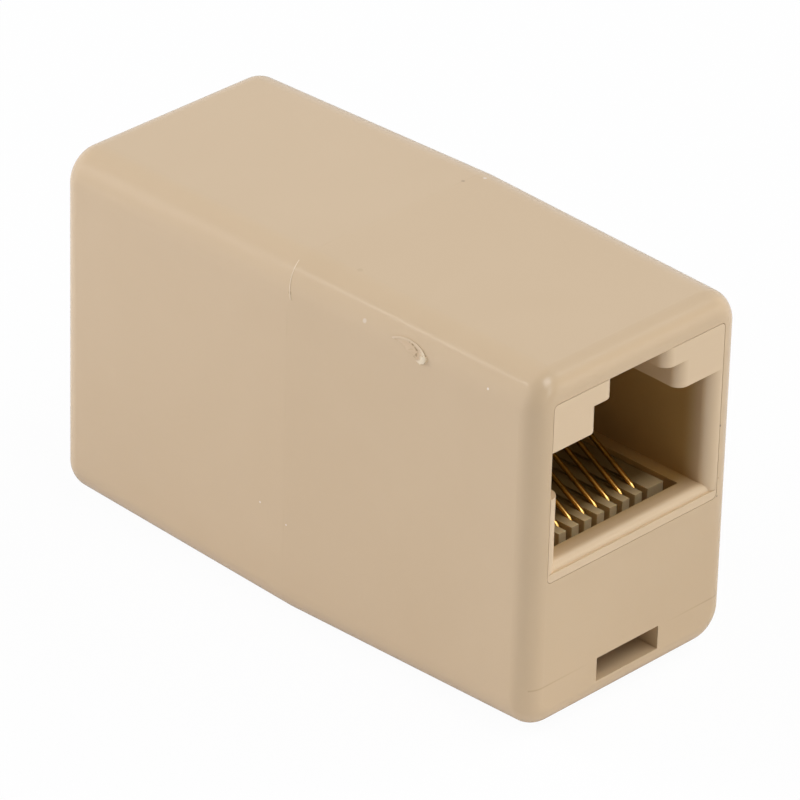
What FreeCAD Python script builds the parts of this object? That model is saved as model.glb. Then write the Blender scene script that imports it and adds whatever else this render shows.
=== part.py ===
import FreeCAD, Part
import math
import os

import Sketcher
from FreeCAD import Placement, Rotation, Vector

# RJ45 inline coupler: a drafted two-part case with an eight-way socket in each end.
# Frame: origin under the middle of the case, +Z up, +Y along the case, photographed end at -Y.
# Each end is modelled at -Y; the far one is the same form turned half a turn about Z.

# Driving dimensions, in millimetres and degrees
SIZES = {
    # Case
    "half_length": 18.6,
    "draft_angle": 1.0,
    "case_wall": 1.0,
    "end_wall": 1.6,
    "long_edge_radius": 2.1,
    "end_edge_radius": 1.3,
    "base_height": 9.4,
    "top_rim": 1.67,
    "low_slot_width": 5.0,
    "low_slot_height": 1.5,
    "low_slot_rise": 1.4,
    "lap_length": 2.0,
    "rib_width": 1.0,
    "rib_spread": 9.0,
    "shelf_width": 1.6,
    "shelf_height": 1.2,
    "rib_length": 11.0,
    # Socket frame
    "cavity_width": 11.9,
    "cavity_height": 7.2,
    "frame_wall": 0.84,
    "frame_lip": 1.02,
    "shoulder_height": 2.9,
    "frame_corner": 0.3,
    "flange_lap": 0.3,
    "flange_thickness": 1.2,
    "board_room": 4.4,
    "rear_wall": 1.15,
    "tab_width": 6.4,
    "tab_height": 1.7,
    "latch_width": 4.05,
    "latch_depth": 2.4,
    "latch_room": 0.8,
    "latch_room_wall": 1.65,
    "notch_lead": 0.7,
    "wall_lead": 0.75,
    "sill_depth": 1.38,
    "sill_step": 0.15,
    "sill_nose": 0.5,
    "rail_width": 0.85,
    "relief_rise": 4.3,
    "relief_depth": 1.6,
    "arm_height": 5.0,
    # Contact block
    "comb_setback": 1.05,
    "comb_drop": 0.31,
    "comb_height": 2.0,
    "upright_height": 5.85,
    "groove_depth": 0.6,
    "groove_start": 3.4,
    # Contact wires
    "contact_pitch": 1.02,
    "wire_diameter": 0.3,
    "bend_radius": 0.8,
    "bend_setback": 1.52,
    "bend_drop": 1.02,
    "tip_inset": 0.3,
    "tip_height": 4.9,
    "row_step": 1.9,
    "tail_stub": 0.9,
    # Link board and solder
    "board_thickness": 1.6,
    "board_rise": 3.6,
    "board_drop": 1.9,
    "board_hole": 0.8,
    "solder_base": 1.0,
    "solder_slope": 20.0,
    "solder_height": 0.7,
    # Clearances
    "fit_gap": 0.03,
    "wire_gap": 0.08,
}
CONTACTS = 8

doc = FreeCAD.newDocument("inline_coupler")
sheet = doc.addObject("Spreadsheet::Sheet", "Sizes")
for row, (alias, number) in enumerate(SIZES.items(), start=1):
    sheet.set(f"A{row}", alias)
    sheet.set(f"B{row}", str(number))
    sheet.setAlias(f"B{row}", alias)
doc.recompute()


class Size:
    """A length that knows its number and the sheet formula that gives it."""

    def __init__(self, number, formula):
        self.number = number
        self.formula = formula

    @staticmethod
    def of(other):
        return other if isinstance(other, Size) else Size(float(other), repr(float(other)))

    def join(self, other, sign, number):
        return Size(number, f"({self.formula} {sign} {Size.of(other).formula})")

    def __add__(self, other):
        return self.join(other, "+", self.number + Size.of(other).number)

    def __sub__(self, other):
        return self.join(other, "-", self.number - Size.of(other).number)

    def __mul__(self, other):
        return self.join(other, "*", self.number * Size.of(other).number)

    def __truediv__(self, other):
        return self.join(other, "/", self.number / Size.of(other).number)

    def __neg__(self):
        return Size(-self.number, f"(-{self.formula})")


def cell(alias):
    return Size(float(sheet.get(alias)), f"Sizes.{alias}")


def tangent(angle):
    return Size(math.tan(math.radians(angle.number)), f"tan({angle.formula})")


ZERO = Size(0.0, "0")

# Places along the depth, counted from the end face of the case
half_length = cell("half_length")
gap = cell("fit_gap")
end_wall = cell("end_wall")
board_face = half_length - cell("board_thickness") / 2
frame_depth = board_face - cell("board_room")
cavity_end = frame_depth - cell("rear_wall")
latch_room_end = cavity_end - cell("latch_room_wall")
comb_front = cell("sill_depth") + cell("comb_setback")
comb_end = frame_depth - gap
bend_depth = comb_front + cell("bend_setback")

# A tail steps down to the lower row at 45 degrees, a third of the spare room behind the comb
jog_length = cell("row_step") + cell("bend_radius") * (2 * math.sqrt(2) - 2)
jog_near_depth = comb_end + (board_face - comb_end - jog_length) / 3
jog_far_depth = jog_near_depth + jog_length

# Places across the width
cavity_half = cell("cavity_width") / 2
window_half = cavity_half + cell("frame_wall") + gap
frame_half = cavity_half + cell("frame_wall")
flange_half = window_half + cell("flange_lap")
inner_half_end = flange_half + gap
floor_half = cavity_half - cell("rail_width")
taper = tangent(cell("draft_angle"))
case_half = inner_half_end + cell("case_wall") + half_length * taper

# Heights above the lowest edge of the case
end_base = half_length * taper
window_low = end_base + cell("base_height")
sill_top = window_low + gap + cell("frame_lip")
shoulder_low = sill_top + cell("cavity_height")
tab_top = shoulder_low + cell("tab_height")
frame_top = shoulder_low + cell("shoulder_height")
window_top = frame_top + gap
case_top = window_top + cell("top_rim") + end_base
comb_top = sill_top - cell("comb_drop")
comb_low = comb_top - cell("comb_height")
bend_height = sill_top - cell("bend_drop")
run_height = bend_height - cell("bend_radius")
low_row = run_height - cell("row_step")
wire_radius = cell("wire_diameter") / 2
slot_width = cell("wire_diameter") + cell("wire_gap") * 2


def along(depth):
    """The Y of a depth behind the end face."""
    return depth - half_length


# Sketch and feature helpers

def new_body(label, turned):
    body = doc.addObject("PartDesign::Body", label)
    body.Label = label
    body.Placement = Placement(Vector(0, 0, 0), Rotation(Vector(0, 0, 1), 180 if turned else 0))
    return body


def origin_item(body, role):
    return next(item for item in body.Origin.OriginFeatures if item.Role == role)


def new_sketch(body, name, role, offset=ZERO):
    """A sketch on one of the body's origin planes, moved along that plane's normal."""
    sketch = body.newObject("Sketcher::SketchObject", f"{body.Name}_{name}")
    sketch.AttachmentSupport = [(origin_item(body, role), "")]
    sketch.MapMode = "FlatFace"
    sketch.AttachmentOffset = Placement(Vector(0, 0, offset.number), Rotation())
    sketch.setExpression(".AttachmentOffset.Base.z", offset.formula)
    return sketch


def bind(sketch, kind, *items):
    """Adds a dimension whose last item is a Size."""
    index = sketch.addConstraint(Sketcher.Constraint(kind, *items[:-1], items[-1].number))
    sketch.setExpression(f"Constraints[{index}]", items[-1].formula)


def line(sketch, start, end):
    return sketch.addGeometry(Part.LineSegment(Vector(*start, 0), Vector(*end, 0)), False)


def place(sketch, geometry, point, across, up):
    bind(sketch, "DistanceX", -1, 1, geometry, point, across)
    bind(sketch, "DistanceY", -1, 1, geometry, point, up)


def rectangle(sketch, left, right, low, high):
    corners = [(left, low), (right, low), (right, high), (left, high)]
    spots = [(a.number, b.number) for a, b in corners]
    lines = [line(sketch, spots[i], spots[(i + 1) % 4]) for i in range(4)]
    for i in range(4):
        sketch.addConstraint(Sketcher.Constraint("Coincident", lines[i], 2, lines[(i + 1) % 4], 1))
        sketch.addConstraint(Sketcher.Constraint("Vertical" if i % 2 else "Horizontal", lines[i]))
    place(sketch, lines[0], 1, left, low)
    place(sketch, lines[2], 1, right, high)


def rounded_rectangle(sketch, left, right, low, high, radius):
    x0, x1, y0, y1, r = left.number, right.number, low.number, high.number, radius.number
    sides = [
        line(sketch, (x0 + r, y0), (x1 - r, y0)), line(sketch, (x1, y0 + r), (x1, y1 - r)),
        line(sketch, (x1 - r, y1), (x0 + r, y1)), line(sketch, (x0, y1 - r), (x0, y0 + r)),
    ]
    centres = [(x1 - r, y0 + r), (x1 - r, y1 - r), (x0 + r, y1 - r), (x0 + r, y0 + r)]
    arcs = []
    for i, (u, v) in enumerate(centres):
        start = math.radians(-90 + 90 * i)
        circle = Part.Circle(Vector(u, v, 0), Vector(0, 0, 1), r)
        arcs.append(sketch.addGeometry(Part.ArcOfCircle(circle, start, start + math.pi / 2), False))
    for i in range(4):
        sketch.addConstraint(Sketcher.Constraint("Tangent", sides[i], 2, arcs[i], 1))
        sketch.addConstraint(Sketcher.Constraint("Tangent", arcs[i], 2, sides[(i + 1) % 4], 1))
        sketch.addConstraint(Sketcher.Constraint("Vertical" if i % 2 else "Horizontal", sides[i]))
    bind(sketch, "DistanceY", -1, 1, sides[0], 1, low)
    bind(sketch, "DistanceX", -1, 1, sides[1], 1, right)
    bind(sketch, "DistanceY", -1, 1, sides[2], 1, high)
    bind(sketch, "DistanceX", -1, 1, sides[3], 1, left)
    bind(sketch, "Radius", arcs[0], radius)
    for i in range(1, 4):
        sketch.addConstraint(Sketcher.Constraint("Equal", arcs[0], arcs[i]))


def eight_sided(sketch, across, up, radius):
    """A regular octagon with flat sides up and down, its corners on a circle of this radius."""
    u, v, r = across.number, up.number, radius.number
    ring = sketch.addGeometry(Part.Circle(Vector(u, v, 0), Vector(0, 0, 1), r), True)
    bind(sketch, "Radius", ring, radius)
    place(sketch, ring, 3, across, up)
    angles = [math.pi * (i + 0.5) / 4 for i in range(8)]
    spots = [(u + r * math.cos(angle), v + r * math.sin(angle)) for angle in angles]
    sides = [line(sketch, spots[i], spots[(i + 1) % 8]) for i in range(8)]
    for i in range(8):
        sketch.addConstraint(Sketcher.Constraint("Coincident", sides[i], 2, sides[(i + 1) % 8], 1))
        sketch.addConstraint(Sketcher.Constraint("PointOnObject", sides[i], 1, ring))
    for side in sides[1:]:
        sketch.addConstraint(Sketcher.Constraint("Equal", sides[0], side))
    sketch.addConstraint(Sketcher.Constraint("Horizontal", sides[1]))


def outline(sketch, points, arc_at=None, arc_centre=None):
    """A closed outline through points; the side that leaves point arc_at may be an arc."""
    spots = [(a.number, b.number) for a, b in points]
    count = len(spots)
    sides = []
    for i in range(count):
        a, b = spots[i], spots[(i + 1) % count]
        if i != arc_at:
            sides.append((line(sketch, a, b), 1, 2))
            continue
        u, v = arc_centre[0].number, arc_centre[1].number
        radius = math.hypot(a[0] - u, a[1] - v)
        first, last = math.atan2(a[1] - v, a[0] - u), math.atan2(b[1] - v, b[0] - u)
        swapped = (last - first) % (2 * math.pi) > math.pi + 1e-6
        if swapped:
            first, last = last, first
        circle = Part.Circle(Vector(u, v, 0), Vector(0, 0, 1), radius)
        arc = sketch.addGeometry(Part.ArcOfCircle(circle, first, last), False)
        sides.append((arc, 2, 1) if swapped else (arc, 1, 2))
        bind(sketch, "DistanceX", -1, 1, arc, 3, arc_centre[0])
    for i in range(count):
        after = sides[(i + 1) % count]
        sketch.addConstraint(Sketcher.Constraint("Coincident", sides[i][0], sides[i][2], after[0], after[1]))
    for i, (across, up) in enumerate(points):
        place(sketch, sides[i][0], sides[i][1], across, up)


def extrude(body, kind, sketch, length, away=False, both=False, draft=None):
    """Pads or pockets a sketch and checks that material was added or removed."""
    before = body.Shape.Volume if body.Tip else 0.0
    feature = body.newObject(f"PartDesign::{kind}", f"{sketch.Name}_{kind.lower()}")
    feature.Profile = sketch
    feature.Length = length.number
    feature.setExpression("Length", length.formula)
    feature.Reversed = away
    feature.Midplane = both
    if draft:
        feature.TaperAngle = draft.number
        feature.setExpression("TaperAngle", draft.formula)
    sketch.Visibility = False
    doc.recompute()
    change = body.Shape.Volume - before
    if (change <= 0) if kind == "Pad" else (change >= 0):
        raise ValueError(f"{feature.Name} changed nothing")
    return feature


def round_edges(body, name, radius, wanted):
    """Fillets the edges of the body's tip for which wanted(edge) is true."""
    base = body.Tip
    names = [f"Edge{i}" for i, edge in enumerate(base.Shape.Edges, start=1) if wanted(edge)]
    if not names:
        raise ValueError(f"{body.Name} {name}: no edge found")
    fillet = body.newObject("PartDesign::Fillet", f"{body.Name}_{name}")
    fillet.Base = (base, names)
    fillet.Radius = radius.number
    fillet.setExpression("Radius", radius.formula)
    doc.recompute()
    return fillet


def repeat(body, feature, count, step):
    """Repeats a feature along X."""
    pattern = body.newObject("PartDesign::LinearPattern", f"{feature.Name}_row")
    pattern.Originals = [feature]
    pattern.Direction = (origin_item(body, "X_Axis"), [""])
    span = step * (count - 1)
    pattern.Length = span.number
    pattern.setExpression("Length", span.formula)
    pattern.Occurrences = count
    body.Tip = pattern
    doc.recompute()
    return pattern


def near(value, size):
    return abs(value - size.number) < 1e-4


def upright_at(edge, x, y):
    """True for a straight vertical edge at this x and y."""
    box = edge.BoundBox
    return (box.XLength < 1e-4 and box.YLength < 1e-4 and near(abs(box.XMin), x) and near(box.YMin, y))


def draft_faces(body, name, half_width, top, inner=False):
    """Drafts the four lengthwise faces that meet the seam plane at this half width and top."""
    base = body.Tip
    middle = case_top.number / 2
    names = []
    for i, face in enumerate(base.Shape.Faces, start=1):
        box = face.BoundBox
        side = box.XLength < 1e-4 and near(abs(box.XMin), half_width)
        level = box.ZLength < 1e-4 and near(abs(box.ZMin - middle), top - case_top / 2)
        if side or level:
            names.append(f"Face{i}")
    if len(names) != 4:
        raise ValueError(f"{body.Name} {name}: {len(names)} faces found")
    draft = body.newObject("PartDesign::Draft", f"{body.Name}_{name}")
    draft.Base = (base, names)
    draft.NeutralPlane = (origin_item(body, "XZ_Plane"), [""])
    draft.Reversed = inner
    draft.Angle = cell("draft_angle").number
    doc.recompute()
    draft.setExpression("Angle", cell("draft_angle").formula)
    doc.recompute()
    if (draft.Shape.Volume > base.Shape.Volume) != inner:
        raise ValueError(f"{draft.Name} leans the wrong way")


def lengthwise(edge, half_width):
    """True for a corner edge that runs back from the seam plane at this half width."""
    box = edge.BoundBox
    return near(box.YMax, ZERO) and box.YLength > half_length.number / 2 and near(
        max(abs(box.XMin), abs(box.XMax)), half_width)


# Case half: a drafted box, hollow, with the socket window and the low slot in its end wall

def make_case(label, turned, has_tongue):
    body = new_body(label, turned)
    wall = cell("case_wall")

    outer = new_sketch(body, "section", "XZ_Plane")
    rectangle(outer, -case_half, case_half, ZERO, case_top)
    extrude(body, "Pad", outer, half_length)
    draft_faces(body, "outer_draft", case_half, case_top)
    round_edges(body, "long_rounding", cell("long_edge_radius"), lambda edge: lengthwise(edge, case_half))
    round_edges(body, "end_rounding", cell("end_edge_radius"),
                lambda edge: near(edge.BoundBox.YMin, -half_length) and near(edge.BoundBox.YMax, -half_length))

    inner = new_sketch(body, "hollow", "XZ_Plane")
    rectangle(inner, wall - case_half, case_half - wall, wall, case_top - wall)
    extrude(body, "Pocket", inner, half_length - end_wall, away=True)
    draft_faces(body, "inner_draft", case_half - wall, case_top - wall, inner=True)
    round_edges(body, "hollow_rounding", cell("long_edge_radius") - wall,
                lambda edge: lengthwise(edge, case_half - wall))

    window = new_sketch(body, "window", "XZ_Plane", half_length)
    rounded_rectangle(window, -window_half, window_half, window_low, window_top, cell("frame_corner") + gap)
    extrude(body, "Pocket", window, end_wall * 1.5)

    slot = new_sketch(body, "low_slot", "XZ_Plane", half_length)
    slot_low = end_base + cell("low_slot_rise")
    slot_half = cell("low_slot_width") / 2
    rectangle(slot, -slot_half, slot_half, slot_low, slot_low + cell("low_slot_height"))
    extrude(body, "Pocket", slot, end_wall * 1.5)

    # Guide ribs over the flange of the socket frame and shelves under it
    rib_start = half_length - end_wall * 0.5
    rib_run = cell("rib_length") + end_wall * 0.5
    ribs = new_sketch(body, "guide_ribs", "XZ_Plane", rib_start)
    rib_low = window_top + cell("flange_lap") + gap
    rib_top = case_top - end_base - wall * 0.5
    rib_in = (cell("rib_spread") - cell("rib_width")) / 2
    rib_out = rib_in + cell("rib_width")
    rectangle(ribs, rib_in, rib_out, rib_low, rib_top)
    rectangle(ribs, -rib_out, -rib_in, rib_low, rib_top)
    extrude(body, "Pad", ribs, rib_run, away=True)
    shelves = new_sketch(body, "shelves", "XZ_Plane", rib_start)
    shelf_top = window_low - cell("flange_lap") - gap
    shelf_out = inner_half_end + wall * 0.5
    shelf_in = inner_half_end - cell("shelf_width")
    rectangle(shelves, shelf_in, shelf_out, shelf_top - cell("shelf_height"), shelf_top)
    rectangle(shelves, -shelf_out, -shelf_in, shelf_top - cell("shelf_height"), shelf_top)
    extrude(body, "Pad", shelves, rib_run, away=True)

    # The lap at the seam: a tongue on one half, a rebate for it in the other
    half_wall = wall / 2
    if has_tongue:
        tongue = new_sketch(body, "tongue", "XZ_Plane")
        skin = half_wall + gap
        rounded_rectangle(tongue, skin - case_half, case_half - skin, skin, case_top - skin,
                          cell("long_edge_radius") - skin)
        root = wall - gap
        rounded_rectangle(tongue, root - case_half, case_half - root, root, case_top - root,
                          cell("long_edge_radius") - root)
        extrude(body, "Pad", tongue, cell("lap_length"), away=True)
    else:
        rebate = new_sketch(body, "rebate", "XZ_Plane")
        rounded_rectangle(rebate, half_wall - case_half, case_half - half_wall, half_wall,
                          case_top - half_wall, cell("long_edge_radius") - half_wall)
        extrude(body, "Pocket", rebate, cell("lap_length") + gap, away=True)
    return body


# Socket frame: plug cavity, stepped latch notch, rounded sill, side rails, flange and rear arms

def make_socket(label, turned):
    body = new_body(label, turned)
    front = half_length
    block = new_sketch(body, "frame", "XZ_Plane", front)
    frame_low = window_low + gap
    rounded_rectangle(block, -frame_half, frame_half, frame_low, frame_top, cell("frame_corner"))
    extrude(body, "Pad", block, frame_depth, away=True)

    flange = new_sketch(body, "flange", "XZ_Plane", front - end_wall - gap)
    lap = cell("flange_lap")
    rounded_rectangle(flange, -flange_half, flange_half, window_low - lap, window_top + lap,
                      cell("long_edge_radius") - cell("case_wall"))
    extrude(body, "Pad", flange, cell("flange_thickness"), away=True)

    arms = new_sketch(body, "arms", "XZ_Plane", front - frame_depth + end_wall)
    for side in (-1, 1):
        near_side, far_side = cavity_half * side, frame_half * side
        rectangle(arms, *((near_side, far_side) if side > 0 else (far_side, near_side)),
                  frame_low, frame_low + cell("arm_height"))
    extrude(body, "Pad", arms, board_face - gap - frame_depth + end_wall, away=True)

    cavity = new_sketch(body, "cavity", "XZ_Plane", front)
    rectangle(cavity, -cavity_half, cavity_half, sill_top, shoulder_low)
    extrude(body, "Pocket", cavity, cavity_end)

    tab_half = cell("tab_width") / 2
    tab = new_sketch(body, "tab_notch", "XZ_Plane", front)
    rectangle(tab, -tab_half, tab_half, shoulder_low - gap, tab_top)
    extrude(body, "Pocket", tab, latch_room_end)

    latch_half = cell("latch_width") / 2
    latch = new_sketch(body, "latch_notch", "XZ_Plane", front)
    rectangle(latch, -latch_half, latch_half, tab_top - gap, window_top + lap * 2)
    extrude(body, "Pocket", latch, cell("latch_depth"))

    room = new_sketch(body, "latch_room", "XZ_Plane", front - cell("latch_depth"))
    rectangle(room, -tab_half, tab_half, tab_top - gap, tab_top + cell("latch_room"))
    extrude(body, "Pocket", room, latch_room_end - cell("latch_depth"))

    face = -half_length
    round_edges(body, "notch_lead", cell("notch_lead"),
                lambda edge: upright_at(edge, tab_half, face) or upright_at(edge, latch_half, face))
    round_edges(body, "wall_lead", cell("wall_lead"), lambda edge: upright_at(edge, cavity_half, face))

    # Sill: a low ridge in the face, a small step back and a round nose up to the plug's rest
    nose = new_sketch(body, "nose", "YZ_Plane")
    step, round_nose = cell("sill_step"), cell("sill_nose")
    step_height = sill_top - round_nose
    outline(nose, [(face - gap, step_height), (along(step), step_height),
                   (along(step + round_nose), sill_top), (face - gap, sill_top)],
            arc_at=1, arc_centre=(along(step + round_nose), step_height))
    extrude(body, "Pocket", nose, (cavity_half + cell("wall_lead")) * 2, both=True)

    # The floor behind the sill is open between the side rails, and so is the rear under the wall
    floor = new_sketch(body, "floor", "XZ_Plane", front - cell("sill_depth"))
    rectangle(floor, -floor_half, floor_half, window_low - lap * 2, sill_top + gap)
    extrude(body, "Pocket", floor, frame_depth)
    rear = new_sketch(body, "rear_opening", "XZ_Plane", front - cavity_end + gap)
    rectangle(rear, -floor_half, floor_half, sill_top, sill_top + cell("upright_height") + gap)
    extrude(body, "Pocket", rear, frame_depth)

    # Relief in the left wall under the shoulder
    relief = new_sketch(body, "relief", "XZ_Plane", front)
    rectangle(relief, -(flange_half + gap), -(cavity_half - gap), sill_top + cell("relief_rise"), shoulder_low)
    extrude(body, "Pocket", relief, cell("relief_depth"))
    return body


# Contact block: a comb with a round bar in each slot, and a grooved upright behind the cavity

def make_block(label, turned):
    body = new_body(label, turned)
    half_width = floor_half - gap
    side = new_sketch(body, "side", "YZ_Plane")
    upright_front = along(cavity_end)
    upright_top = sill_top + cell("upright_height")
    outline(side, [(along(comb_front), comb_low), (along(comb_end), comb_low), (along(comb_end), upright_top),
                   (upright_front, upright_top), (upright_front, comb_top), (along(comb_front), comb_top)])
    extrude(body, "Pad", side, half_width * 2, both=True)

    first = -(cell("contact_pitch") * ((CONTACTS - 1) / 2))
    bar_radius = cell("bend_radius") - wire_radius - cell("wire_gap")
    bar_top, bar_low = bend_height + bar_radius, bend_height - bar_radius
    bar = along(bend_depth)
    slot = new_sketch(body, "slot", "YZ_Plane", first)
    margin = cell("comb_height")
    outline(slot, [(bar, bar_top), (bar, bar_low), (along(comb_end + margin), bar_low),
                   (along(comb_end + margin), comb_low - margin), (along(comb_front - margin), comb_low - margin),
                   (along(comb_front - margin), comb_top + gap), (along(cavity_end) - margin, comb_top + gap),
                   (along(cavity_end) - margin, bar_top)],
            arc_at=0, arc_centre=(bar, bend_height))
    repeat(body, extrude(body, "Pocket", slot, slot_width, both=True), CONTACTS, cell("contact_pitch"))

    groove = new_sketch(body, "groove", "YZ_Plane", first)
    groove_low = sill_top + cell("groove_start")
    outline(groove, [(upright_front - gap, groove_low), (upright_front + cell("groove_depth"), groove_low),
                     (upright_front + cell("groove_depth"), upright_top + gap),
                     (upright_front - gap, upright_top + gap)])
    repeat(body, extrude(body, "Pocket", groove, slot_width, both=True), CONTACTS, cell("contact_pitch"))
    return body


# Contact wire: tail in the board, run under the comb, turn round the bar, beam up into the cavity

def arc_between(sketch, centre, radius, first, last):
    circle = Part.Circle(Vector(*centre, 0), Vector(0, 0, 1), radius)
    return sketch.addGeometry(Part.ArcOfCircle(circle, first, last), False)


def make_contact(label, turned, number):
    body = new_body(label, turned)
    across = cell("contact_pitch") * (number - (CONTACTS + 1) / 2)
    jogged = number % 2 == 0
    radius = cell("bend_radius")
    tail_y = cell("board_thickness") / 2 + cell("tail_stub")
    tail_z = low_row if jogged else run_height
    bend_y = along(bend_depth)
    tip_y = along(cavity_end + cell("tip_inset"))
    tip_z = sill_top + cell("tip_height")
    run, r = run_height.number, radius.number

    path = new_sketch(body, "path", "YZ_Plane", across)
    tangent_to = lambda a, b, c, d: path.addConstraint(Sketcher.Constraint("Tangent", a, b, c, d))
    if jogged:
        jog_near, jog_far = along(jog_near_depth), along(jog_far_depth)
        low, lean = low_row.number, math.pi / 4
        shift = r * math.sin(lean)
        tail = line(path, (tail_y.number, low), (jog_far.number, low))
        lower = arc_between(path, (jog_far.number, low + r), r, math.pi * 1.25, math.pi * 1.5)
        slant = line(path, (jog_far.number - shift, low + r - shift), (jog_near.number + shift, run - r + shift))
        upper = arc_between(path, (jog_near.number, run - r), r, math.pi * 0.25, math.pi * 0.5)
        straight = line(path, (jog_near.number, run), (bend_y.number, run))
        tangent_to(tail, 2, lower, 2)
        tangent_to(lower, 1, slant, 1)
        tangent_to(slant, 2, upper, 1)
        tangent_to(upper, 2, straight, 1)
        path.addConstraint(Sketcher.Constraint("Horizontal", straight))
        bind(path, "DistanceY", -1, 1, straight, 1, run_height)
        for arc, middle in ((lower, jog_far), (upper, jog_near)):
            bind(path, "Radius", arc, radius)
            bind(path, "DistanceX", -1, 1, arc, 3, middle)
    else:
        tail = line(path, (tail_y.number, run), (bend_y.number, run))
        straight = tail
    path.addConstraint(Sketcher.Constraint("Horizontal", tail))
    place(path, tail, 1, tail_y, tail_z)

    # The turn round the bar ends where the beam to the tip is tangent to it
    reach, rise = tip_y.number - bend_y.number, tip_z.number - bend_height.number
    slope = math.atan2(rise, reach) - math.asin(r / math.hypot(reach, rise))
    leave = slope + math.pi / 2
    turn = arc_between(path, (bend_y.number, bend_height.number), r, leave, math.pi * 1.5)
    start = (bend_y.number + r * math.cos(leave), bend_height.number + r * math.sin(leave))
    beam = line(path, start, (tip_y.number, tip_z.number))
    tangent_to(straight, 2, turn, 2)
    bind(path, "Radius", turn, radius)
    bind(path, "DistanceX", -1, 1, turn, 3, bend_y)
    tangent_to(turn, 1, beam, 1)
    place(path, beam, 2, tip_y, tip_z)

    section = new_sketch(body, "section", "XZ_Plane", -tail_y)
    eight_sided(section, across, tail_z, wire_radius)
    doc.recompute()
    pipe = body.newObject("PartDesign::AdditivePipe", f"{body.Name}_wire")
    pipe.Profile = section
    pipe.Spine = (path, [f"Edge{i}" for i in range(1, len(path.Shape.Edges) + 1)])
    return body


# Link board: stands across the case at mid length, with two rows of holes

def make_board(label):
    body = new_body(label, False)
    plate = new_sketch(body, "plate", "XZ_Plane")
    rectangle(plate, -frame_half, frame_half, low_row - cell("board_drop"), sill_top + cell("board_rise"))
    extrude(body, "Pad", plate, cell("board_thickness"), both=True)
    holes = new_sketch(body, "holes", "XZ_Plane")
    first = -(cell("contact_pitch") * ((CONTACTS - 1) / 2))
    for level in (run_height, low_row):
        ring = holes.addGeometry(Part.Circle(Vector(first.number, level.number, 0), Vector(0, 0, 1),
                                             cell("board_hole").number / 2), False)
        bind(holes, "Radius", ring, cell("board_hole") / 2)
        place(holes, ring, 3, first, level)
    drilled = extrude(body, "Pocket", holes, cell("board_thickness") * 2, both=True)
    repeat(body, drilled, CONTACTS, cell("contact_pitch"))
    return body


# Solder: one joint round each tail, tapered, on the face of the board where the tail comes out

def make_solder(label, turned):
    joints = []
    face = cell("board_thickness") / 2
    for number in range(1, CONTACTS + 1):
        across = cell("contact_pitch") * (number - (CONTACTS + 1) / 2)
        level = run_height if number % 2 else low_row
        joint = new_body(f"{label}_joint_{number}", False)
        foot = new_sketch(joint, "foot", "XZ_Plane", -face)
        eight_sided(foot, across, level, cell("solder_base") / 2)
        extrude(joint, "Pad", foot, cell("solder_height"), away=True, draft=-cell("solder_slope"))
        tail = new_sketch(joint, "tail", "XZ_Plane", -face)
        eight_sided(tail, across, level, wire_radius)
        extrude(joint, "Pocket", tail, cell("solder_height") * 3, both=True)
        joints.append(joint)
    group = doc.addObject("Part::MultiFuse", label)
    group.Label = label
    group.Shapes = joints
    group.Placement = Placement(Vector(0, 0, 0), Rotation(Vector(0, 0, 1), 180 if turned else 0))
    doc.recompute()
    return group


pieces = [make_case("housing_front", False, True), make_case("housing_rear", True, False),
          make_board("link_board")]
for end, turned in (("front", False), ("rear", True)):
    pieces.append(make_socket(f"socket_{end}", turned))
    pieces.append(make_block(f"contact_block_{end}", turned))
    pieces += [make_contact(f"contact_{end}_{number}", turned, number) for number in range(1, CONTACTS + 1)]
    pieces.append(make_solder(f"solder_{end}", turned))

doc.recompute()
faults = [item.Name for item in doc.Objects if "Invalid" in item.State or "Error" in item.State]
faults += [piece.Label for piece in pieces if piece.Shape.isNull() or not piece.Shape.isValid()]
if faults:
    raise ValueError(f"failed objects: {faults}")

os.makedirs("parts", exist_ok=True)
for piece in pieces:
    piece.Shape.exportStep(os.path.join("parts", f"{piece.Label}.step"))
    box = piece.Shape.BoundBox
    print(f"{piece.Label}: {len(piece.Shape.Solids)} solid, {piece.Shape.Volume:.2f} mm3, "
          f"x {box.XMin:.2f} {box.XMax:.2f}, y {box.YMin:.2f} {box.YMax:.2f}, z {box.ZMin:.2f} {box.ZMax:.2f}")
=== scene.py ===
"""Looks for a beige two-part inline coupler with an eight-way modular socket in each end.

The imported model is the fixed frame. Its nodes keep their shapes and get moulded, plated and
laminated finishes; the sprung contact wires are modelled again as smooth round wires; the gate
scar, the burr of the moulding seam and the rounded feet of the cavity walls are small pieces of
their own.
"""

import logging
import math
from dataclasses import dataclass
from enum import Enum
from typing import Callable, Mapping

import bmesh
import bpy
from mathutils import Matrix, Vector


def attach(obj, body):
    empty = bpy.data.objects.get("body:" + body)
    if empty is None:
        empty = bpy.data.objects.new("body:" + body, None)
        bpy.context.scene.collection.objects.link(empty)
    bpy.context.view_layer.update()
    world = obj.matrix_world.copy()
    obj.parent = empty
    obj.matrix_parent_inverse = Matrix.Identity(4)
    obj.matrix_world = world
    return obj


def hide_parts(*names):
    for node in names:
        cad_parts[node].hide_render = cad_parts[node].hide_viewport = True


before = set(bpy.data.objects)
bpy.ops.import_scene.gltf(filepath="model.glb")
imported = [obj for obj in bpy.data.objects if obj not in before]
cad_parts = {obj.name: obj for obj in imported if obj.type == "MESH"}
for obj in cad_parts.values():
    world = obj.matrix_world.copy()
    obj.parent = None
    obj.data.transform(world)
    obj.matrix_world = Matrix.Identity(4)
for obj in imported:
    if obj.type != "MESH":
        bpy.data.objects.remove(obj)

LOG = logging.getLogger("inline_coupler")
MM = 0.001
ROOT = "root"
# Faces that meet at less than this angle are shaded as one round surface
SOFT_EDGE = math.radians(40)
# Places of the colour sockets on a Mix node, where each name comes once for every type of value
MIX_FIRST, MIX_SECOND, MIX_RESULT = 6, 7, 2

Rgba = tuple[float, float, float, float]
Point = tuple[float, float, float]


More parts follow.
